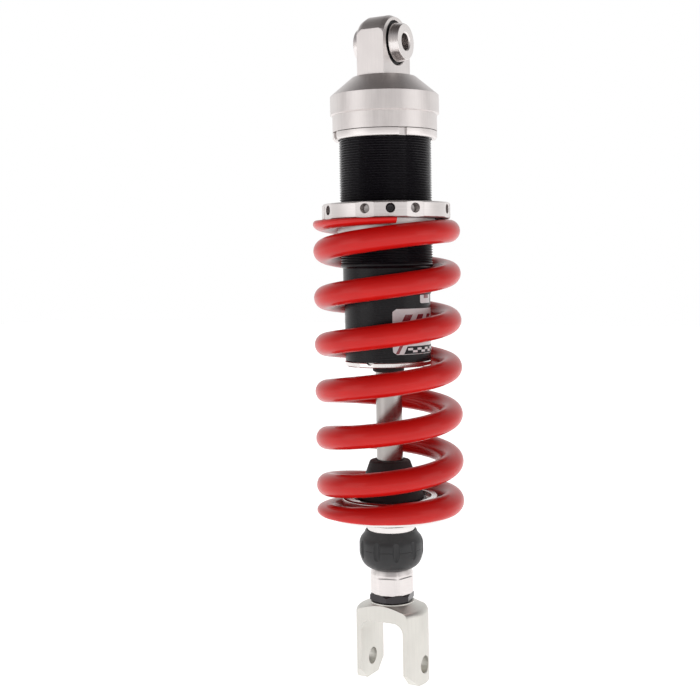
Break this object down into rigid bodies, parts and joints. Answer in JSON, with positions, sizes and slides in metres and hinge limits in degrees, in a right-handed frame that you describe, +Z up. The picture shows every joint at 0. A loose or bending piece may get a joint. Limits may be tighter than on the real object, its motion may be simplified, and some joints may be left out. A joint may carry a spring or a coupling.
{
  "type": "motorcycle rear shock absorber",
  "caption": "Motorcycle rear shock absorber with a threaded black damper, red coil spring, bearing eye on top and clevis below.",
  "frame": {"origin": "centre of the top eye's bearing, on the bolt's axis and on the damper's axis", "axes": "+X along both bolts, +Z up the damper's axis from the clevis to the eye"},
  "size_m": [0.0892, 0.0891, 0.403],
  "materials": {
    "aluminium": "satin machined",
    "black_anodised": "black hard anodised, satin",
    "spring_paint": "gloss powder coat",
    "hard_chrome": "ground and polished hard chrome",
    "steel": "machined",
    "black_steel": "black oxide, satin",
    "rubber": "matte",
    "black_plastic": "fine satin",
    "bronze": "sintered, satin"
  },
  "bodies": {
    "damper_body": {"cylinder_head": "aluminium", "gas_plug": "steel", "bearing_outer_race": "steel", "bearing_circlip_left": "black_steel", "bearing_circlip_right": "black_steel", "dust_seal_left": "rubber", "dust_seal_right": "rubber", "head_lock_ring": "aluminium", "damper_tube": "black_anodised", "rod_guide": "aluminium", "guide_bush": "bronze", "guide_o_ring": "rubber", "oil_seal": "rubber", "retaining_ring": "steel", "end_cap": "aluminium", "dust_wiper": "rubber", "coil_spring": "spring_paint"},
    "bearing_ball": {"bearing_ball": "hard_chrome"},
    "eye_spacers": {"eye_spacer_left": "aluminium", "eye_spacer_right": "aluminium"},
    "floating_piston": {"floating_piston": "aluminium", "floating_piston_seal": "rubber"},
    "spring_spigot": {"spring_spigot": "aluminium"},
    "preload_ring": {"preload_ring": "aluminium", "locking_screw": "black_steel", "locking_pad": "black_plastic"},
    "rod": {"piston_rod": "hard_chrome", "damping_piston": "aluminium", "piston_band": "bronze", "compression_shims": "steel", "rebound_shims": "steel", "piston_nut": "steel", "top_out_bumper": "rubber", "bump_stop": "rubber", "bump_cup": "black_plastic", "lower_spring_collar": "aluminium", "adjuster_body": "steel"},
    "rebound_knob": {"rebound_knob": "black_plastic"},
    "rebound_needle": {"rebound_needle": "steel"},
    "clevis": {"lower_clevis": "aluminium"},
    "length_sleeve": {"length_sleeve": "aluminium"},
    "lock_nut": {"lock_nut": "black_steel"}
  },
  "joints": [
    {"name": "bearing_tilt", "type": "hinge", "parent": "damper_body", "child": "bearing_ball", "pos_m": [0, 0, 0], "axis": [0, 1, 0], "range_deg": [-4, 4]},
    {"name": "spacer_turn", "type": "hinge", "parent": "bearing_ball", "child": "eye_spacers", "pos_m": [0, 0, 0], "axis": [1, 0, 0], "continuous": true},
    {"name": "rod_slide", "type": "slide", "parent": "damper_body", "child": "rod", "axis": [0, 0, 1], "range_m": [0, 0.052], "stiffness_N_per_m": 153000, "springref_m": -0.008, "deforming": ["coil_spring"]},
    {"name": "floating_piston_slide", "type": "slide", "parent": "damper_body", "child": "floating_piston", "axis": [0, 0, 1], "range_m": [0, 0.0063]},
    {"name": "preload_slide", "type": "slide", "parent": "damper_body", "child": "spring_spigot", "axis": [0, 0, 1], "range_m": [0, 0.01]},
    {"name": "preload_turn", "type": "hinge", "parent": "spring_spigot", "child": "preload_ring", "pos_m": [0, 0, 0], "axis": [0, 0, 1], "range_deg": [0, 2400]},
    {"name": "needle_slide", "type": "slide", "parent": "rod", "child": "rebound_needle", "axis": [0, 0, 1], "range_m": [0, 0.00125]},
    {"name": "rebound_click", "type": "hinge", "parent": "rod", "child": "rebound_knob", "pos_m": [0, 0, 0], "axis": [0, 0, 1], "range_deg": [0, 900]},
    {"name": "length_slide", "type": "slide", "parent": "rod", "child": "clevis", "axis": [0, 0, -1], "range_m": [0, 0.01]},
    {"name": "length_turn", "type": "hinge", "parent": "rod", "child": "length_sleeve", "pos_m": [0, 0, 0], "axis": [0, 0, 1], "range_deg": [0, 2400]},
    {"name": "lock_nut_turn", "type": "hinge", "parent": "clevis", "child": "lock_nut", "pos_m": [0, 0, 0], "axis": [0, 0, 1], "range_deg": [0, 60]}
  ],
  "couplings": [
    {"joint": "floating_piston_slide", "follows": "rod_slide", "ratio": 0.121},
    {"joint": "preload_turn", "follows": "preload_slide", "rad_per_m": 4188.8},
    {"joint": "rebound_click", "follows": "needle_slide", "rad_per_m": 12566},
    {"joint": "length_turn", "follows": "length_slide", "rad_per_m": 4188.8}
  ]
}
